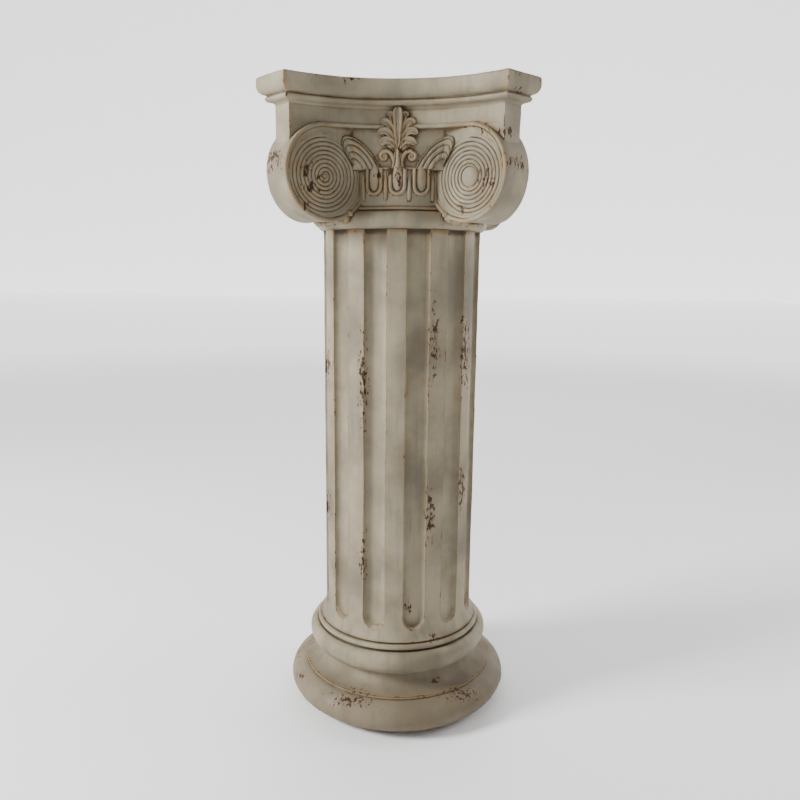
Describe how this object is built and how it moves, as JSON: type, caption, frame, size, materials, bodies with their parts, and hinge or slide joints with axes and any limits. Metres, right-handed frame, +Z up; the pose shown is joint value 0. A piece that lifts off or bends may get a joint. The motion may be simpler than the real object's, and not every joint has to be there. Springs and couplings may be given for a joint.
{
  "type": "column pedestal",
  "caption": "Fluted column pedestal with a moulded round base and a capital with corner volutes, palmettes and a hollow-sided square top.",
  "frame": {"origin": "centre of the flat underside, on the column's axis", "axes": "+Z up along the column's axis, -Y towards the front side, +X towards the right side"},
  "size_m": [0.3594, 0.3594, 0.9],
  "materials": {
    "aged_paint": "matt cream and grey paint over cast resin stone, with tan wash in the hollows and dark brown chips"
  },
  "bodies": {
    "root": {"column_pedestal": "aged_paint"}
  },
  "joints": []
}
